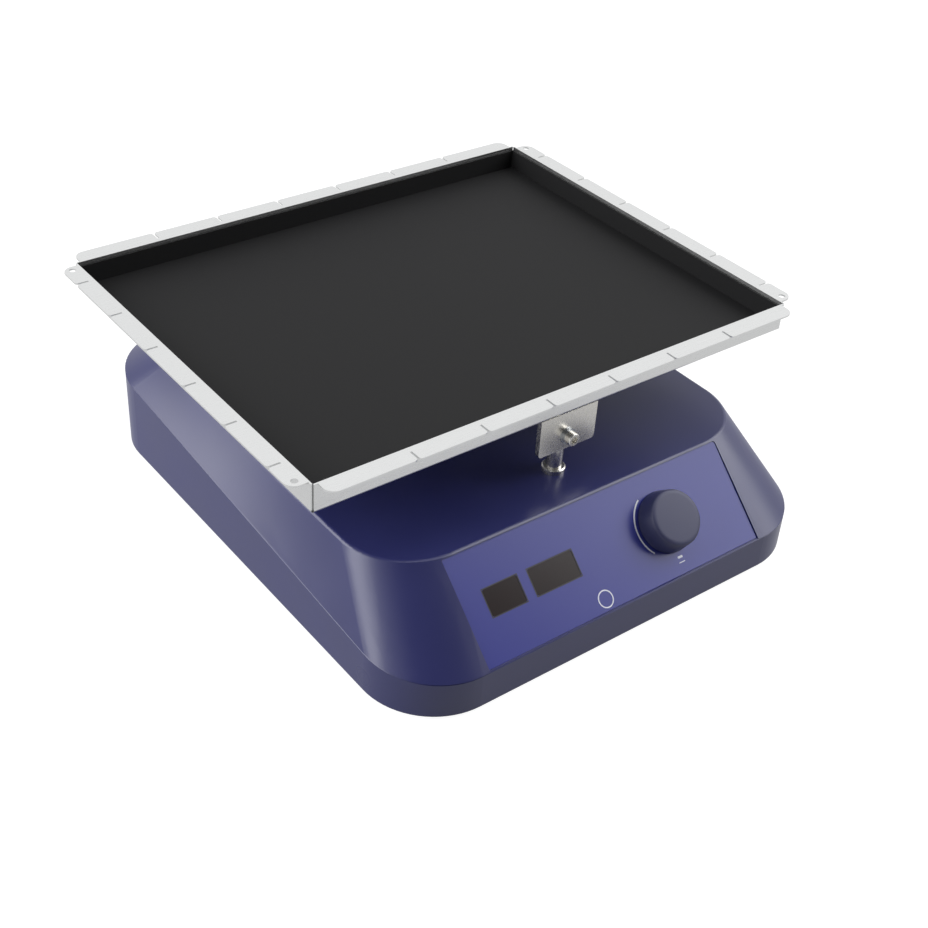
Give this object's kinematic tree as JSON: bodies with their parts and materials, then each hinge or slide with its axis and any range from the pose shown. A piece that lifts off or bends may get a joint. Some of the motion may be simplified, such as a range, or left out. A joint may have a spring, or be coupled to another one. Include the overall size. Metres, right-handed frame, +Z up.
{
  "type": "bench rocking shaker",
  "caption": "Bench shaker: sloped-front base with knob and displays, and a lined sheet tray rocking on two posts.",
  "frame": {"origin": "on the table under the middle of the base", "axes": "+X to the right seen from the front, +Y to the back, +Z up"},
  "size_m": [0.4384, 0.4282, 0.1616],
  "materials": {
    "shell_blue": "satin",
    "panel_blue": "satin",
    "window_tint": "gloss",
    "knob_blue": "matte",
    "tray_steel": "brushed",
    "bright_steel": "polished",
    "zinc_steel": "satin",
    "cradle_steel": "satin",
    "bronze": "satin",
    "liner_rubber": "matte",
    "foot_rubber": "matte",
    "black_plastic": "matte",
    "board_green": "satin",
    "motor_metal": "satin",
    "fork_aluminium": "satin"
  },
  "bodies": {
    "base": {"lower_shell": "shell_blue", "upper_shell": "shell_blue", "panel": "panel_blue", "small_window": "window_tint", "large_window": "window_tint", "display_blocks": "black_plastic", "control_board": "board_green", "board_screws": "zinc_steel", "encoder_body": "zinc_steel", "cradle": "cradle_steel", "cradle_screws": "zinc_steel", "front_post": "bright_steel", "rear_post": "bright_steel", "post_nuts": "zinc_steel", "post_collars": "bright_steel", "pivot_bushes": "bronze", "motor_bracket": "zinc_steel", "gearbox": "motor_metal", "motor": "motor_metal", "motor_screws": "zinc_steel", "supply_board": "board_green", "power_inlet": "black_plastic", "switch_frame": "black_plastic", "feet": "foot_rubber", "foot_screws": "zinc_steel", "shell_screws": "zinc_steel"},
    "rocking_tray": {"tray": "tray_steel", "tray_liner": "liner_rubber", "front_bracket": "bright_steel", "rear_bracket": "bright_steel", "pivot_screws": "bright_steel", "pivot_washers": "zinc_steel", "pivot_nuts": "zinc_steel", "drive_fork": "fork_aluminium", "tray_studs": "zinc_steel", "stud_nuts": "zinc_steel"},
    "crank": {"crank_disc": "zinc_steel", "gear_shaft": "bright_steel", "crank_pin": "bright_steel"},
    "roller": {"crank_roller": "bright_steel"},
    "rotor": {"encoder_rotor": "black_plastic"},
    "knob": {"knob": "knob_blue", "knob_shaft": "bright_steel"},
    "rocker": {"switch_rocker": "black_plastic"}
  },
  "joints": [
    {"name": "tray_rock", "type": "hinge", "parent": "base", "child": "rocking_tray", "pos_m": [0, 0.031, 0.12], "axis": [0, 1, 0], "range_deg": [-7, 7]},
    {"name": "crank_turn", "type": "hinge", "parent": "base", "child": "crank", "pos_m": [0, 0.036, 0.06], "axis": [0, 1, 0], "range_deg": [-76.1, 76.1]},
    {"name": "roller_spin", "type": "hinge", "parent": "crank", "child": "roller", "pos_m": [0, 0.031, 0.05269], "axis": [0, 1, 0], "continuous": true},
    {"name": "knob_turn", "type": "hinge", "parent": "base", "child": "rotor", "pos_m": [0.0525, -0.18333, 0.05767], "axis": [0, -0.6843, 0.7292], "continuous": true},
    {"name": "knob_press", "type": "slide", "parent": "rotor", "child": "knob", "axis": [0, 0.6843, -0.7292], "range_m": [0, 0.0008], "stiffness_N_per_m": 2500, "springref_m": -0.0008},
    {"name": "switch_rock", "type": "hinge", "parent": "base", "child": "rocker", "pos_m": [-0.045, 0.211, 0.036], "axis": [1, 0, 0], "range_deg": [0, 14]}
  ],
  "couplings": [
    {"joint": "crank_turn", "follows": "tray_rock", "ratio": 10.857}
  ]
}
